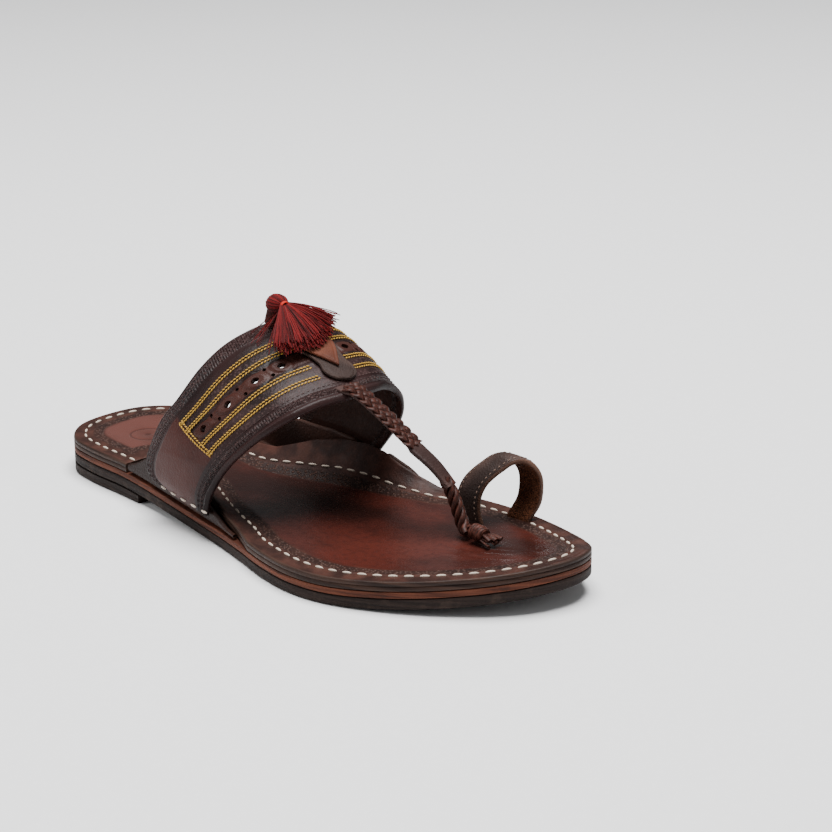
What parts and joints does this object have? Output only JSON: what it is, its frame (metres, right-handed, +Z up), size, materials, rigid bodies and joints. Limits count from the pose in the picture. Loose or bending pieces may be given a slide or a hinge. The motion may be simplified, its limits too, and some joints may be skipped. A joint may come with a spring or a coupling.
{
  "type": "kolhapuri sandal",
  "caption": "Open leather sandal: layered flat sole with curled waist ears, wide punched instep band, braided strap running to the toe, toe loop and a red tassel on the crown.",
  "frame": {"origin": "middle of the whole sandal's box in plan, on the floor", "axes": "+X from the heel to the toe, +Y to the medial side, +Z up"},
  "size_m": [0.27, 0.106, 0.0965],
  "materials": {
    "sole_leather": "black-brown pressed leather, matt cut edge",
    "midsole_leather": "rust-brown leather seen at its cut edge, matt",
    "topsole_leather": "deep red-brown leather, burnished and softly glossy in the middle, darker margin",
    "ear_leather": "dark brown smooth leather, satin",
    "band_leather": "dark brown grained leather, satin, paler cut edge",
    "overlay_leather": "mid-brown grained leather, satin",
    "lace_leather": "twisted brown leather lace, satin",
    "tassel_thread": "red cotton thread, matt"
  },
  "bodies": {
    "root": {"heel_lift": "sole_leather", "outsole": "sole_leather", "midsole": "midsole_leather", "topsole": "topsole_leather", "ear_lateral": "ear_leather", "ear_medial": "ear_leather", "upper": "band_leather", "strap_tab": "overlay_leather", "leaf_overlay": "overlay_leather", "toe_ring": "band_leather", "toe_knot": "lace_leather", "tassel": "tassel_thread"}
  },
  "joints": []
}
